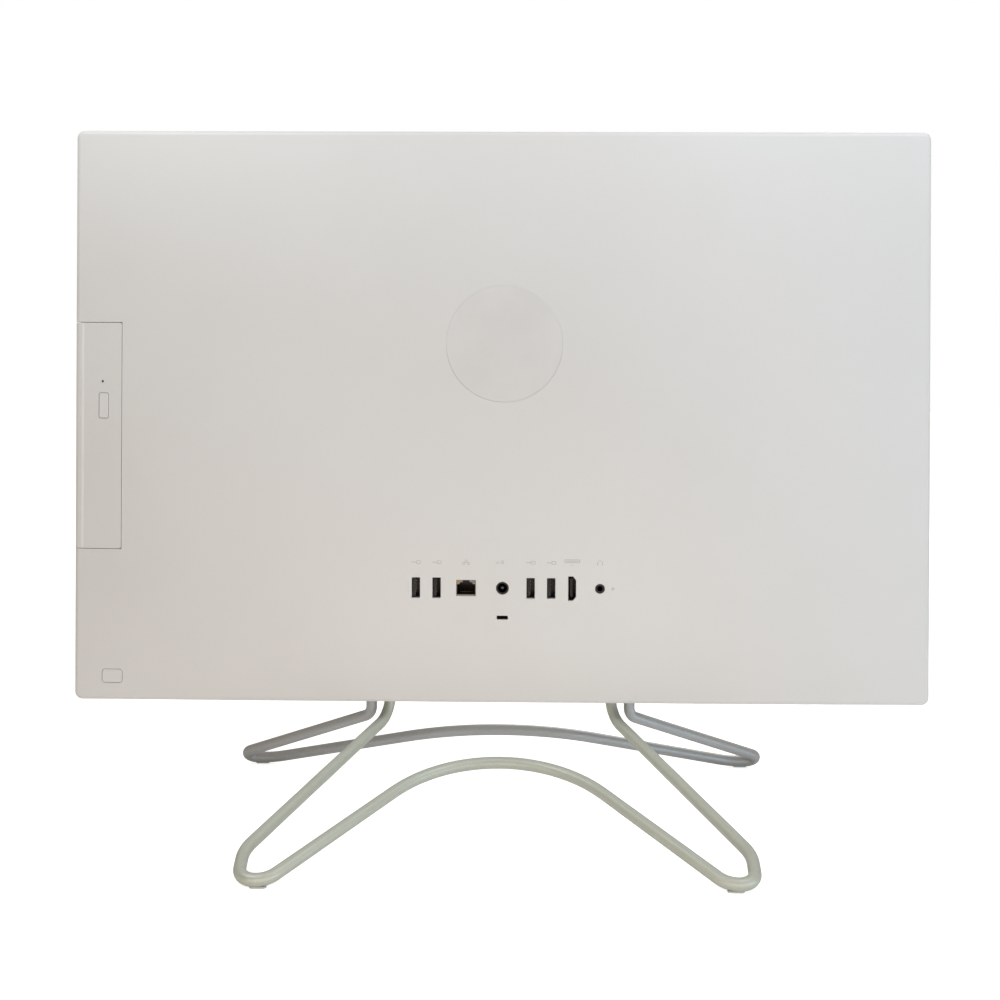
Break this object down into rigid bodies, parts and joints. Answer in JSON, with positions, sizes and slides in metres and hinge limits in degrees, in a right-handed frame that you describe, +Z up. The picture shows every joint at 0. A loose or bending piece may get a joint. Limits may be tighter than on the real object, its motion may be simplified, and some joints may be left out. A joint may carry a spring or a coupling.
{
  "type": "all in one pc",
  "caption": "All-in-one desktop computer: a flat white display body with rear sockets and a side disc drive, tilting on two bent silver tube loops.",
  "frame": {"origin": "on the desk, under the middle of the object's bounding box", "axes": "+Z up; -Y is the way the screen faces, +Y the side with the sockets; +X the side the disc drive opens towards"},
  "size_m": [0.5404, 0.2046, 0.4202],
  "materials": {
    "shell_white": "fine moulded matte",
    "tube_silver": "satin silver paint",
    "foot_rubber": "matte",
    "hinge_steel": "blackened",
    "plated_steel": "zinc plated sheet",
    "screw_steel": "plated",
    "screen_glass": "semi-gloss, dark when off",
    "panel_back": "metal-coated tray",
    "black_plastic": "fine matte",
    "emblem_grey": "satin blank disc",
    "board_green": "solder mask",
    "processor_grey": "satin",
    "copper": "copper",
    "fin_aluminium": "satin",
    "port_metal": "plated",
    "amber_window": "translucent",
    "clear_window": "translucent",
    "gold_contact": "gold plated",
    "antenna_foil": "foil",
    "tray_grey": "fine matte"
  },
  "bodies": {
    "stand": {"stand_rear_loop": "tube_silver", "stand_front_loop": "tube_silver", "stand_foot_pads": "foot_rubber", "hinge_barrels": "hinge_steel", "hinge_shaft": "hinge_steel", "hinge_friction_washers": "hinge_steel", "hinge_nuts": "hinge_steel"},
    "head": {"hinge_brackets": "plated_steel", "hinge_screws": "screw_steel", "front_frame": "shell_white", "speaker_grille": "shell_white", "display_glass": "screen_glass", "display_panel": "panel_back", "webcam_module": "black_plastic", "rear_cover": "shell_white", "cover_screws": "screw_steel", "blank_emblem": "emblem_grey", "frame_plate": "plated_steel", "board_screws": "screw_steel", "main_board": "board_green", "board_components": "black_plastic", "processor": "processor_grey", "cold_plate": "copper", "heat_pipe": "copper", "heatsink_fins": "fin_aluminium", "blower_housing": "black_plastic", "blower_lid": "plated_steel", "blower_screws": "screw_steel", "usb_shells": "port_metal", "usb_tongues": "black_plastic", "lan_jack": "black_plastic", "lan_light_windows": "amber_window", "lan_contacts": "gold_contact", "dc_jack": "black_plastic", "dc_pin": "port_metal", "video_shell": "port_metal", "video_tongue": "black_plastic", "audio_jack": "black_plastic", "status_light_pipe": "clear_window", "lock_plate": "plated_steel", "memory_sockets": "black_plastic", "memory_module_1": "board_green", "memory_module_2": "board_green", "radio_card": "board_green", "antennas": "antenna_foil", "clock_battery": "port_metal", "hard_drive": "fin_aluminium", "hard_drive_bracket": "plated_steel", "hard_drive_screws": "screw_steel", "speaker_1": "black_plastic", "speaker_2": "black_plastic", "optical_drive_case": "plated_steel", "power_switch_board": "board_green"},
    "tray": {"disc_tray": "tray_grey", "drive_door": "shell_white"},
    "eject_key": {"eject_button": "shell_white"},
    "power_key": {"power_button": "shell_white"},
    "spindle": {"spindle_hub": "black_plastic"},
    "sled": {"laser_sled": "port_metal"},
    "fan": {"fan_rotor": "black_plastic"}
  },
  "joints": [
    {"name": "head_tilt", "type": "hinge", "parent": "stand", "child": "head", "pos_m": [0, -0.0523, 0.077], "axis": [-1, 0, 0], "range_deg": [-5, 20]},
    {"name": "tray_slide", "type": "slide", "parent": "head", "child": "tray", "axis": [1, 0, 0], "range_m": [0, 0.116]},
    {"name": "eject_press", "type": "slide", "parent": "tray", "child": "eject_key", "axis": [0, -1, 0], "range_m": [0, 0.0008], "stiffness_N_per_m": 900, "springref_m": -0.0004},
    {"name": "power_press", "type": "slide", "parent": "head", "child": "power_key", "axis": [0, -1, 0], "range_m": [0, 0.001], "stiffness_N_per_m": 1200, "springref_m": -0.0004},
    {"name": "spindle_spin", "type": "hinge", "parent": "tray", "child": "spindle", "pos_m": [0.184, -0.0475, 0.2266], "axis": [0, 1, 0], "continuous": true},
    {"name": "sled_travel", "type": "slide", "parent": "tray", "child": "sled", "axis": [-0.7071, 0, 0.7071], "range_m": [0, 0.033]},
    {"name": "fan_spin", "type": "hinge", "parent": "head", "child": "fan", "pos_m": [-0.062, -0.0465, 0.344], "axis": [0, 1, 0], "continuous": true}
  ]
}
